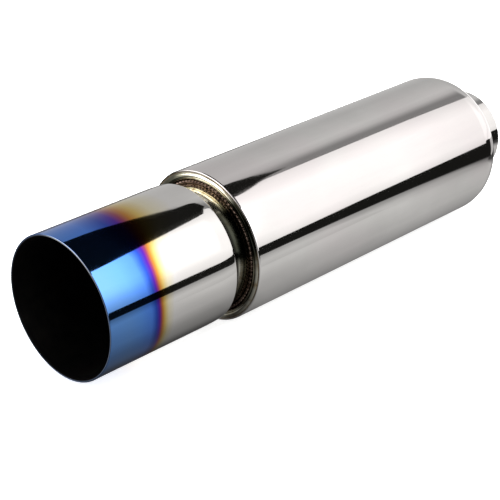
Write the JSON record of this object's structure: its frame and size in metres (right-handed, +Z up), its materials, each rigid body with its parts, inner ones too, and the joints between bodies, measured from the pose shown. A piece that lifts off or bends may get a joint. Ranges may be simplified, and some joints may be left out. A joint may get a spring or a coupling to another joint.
{
  "type": "straight-through exhaust muffler",
  "caption": "Round straight-through exhaust muffler in mirror-polished steel, with a large straight outlet tip coloured blue by heat at its mouth and a narrower inlet neck.",
  "frame": {"origin": "centre of the inlet neck's open end", "axes": "+Y along the muffler's axis and out of the inlet, so the outlet tip's mouth faces -Y; +Z up, with both long seams underneath"},
  "size_m": [0.1104, 0.426, 0.1104],
  "materials": {
    "polished_steel": "polished",
    "heat_coloured_tip": "polished",
    "weld_bead": "satin",
    "core_steel": "satin",
    "steel_wool": "matte",
    "tie_wire": "satin",
    "glass_fibre": "matte"
  },
  "bodies": {
    "root": {"outlet_tip": "heat_coloured_tip", "tip_weld_bead": "weld_bead", "outlet_end_cap": "polished_steel", "end_cap_rim_weld": "weld_bead", "muffler_shell": "polished_steel", "shell_seam_weld": "weld_bead", "inlet_end_cap": "polished_steel", "inlet_cap_weld": "weld_bead", "inlet_neck": "polished_steel", "inlet_neck_weld": "weld_bead", "perforated_core": "core_steel", "core_seam_weld": "weld_bead", "core_outlet_weld": "weld_bead", "core_inlet_weld": "weld_bead", "steel_wool_wrap": "steel_wool", "wool_tie_wires": "tie_wire", "glass_fibre_packing": "glass_fibre"}
  },
  "joints": []
}
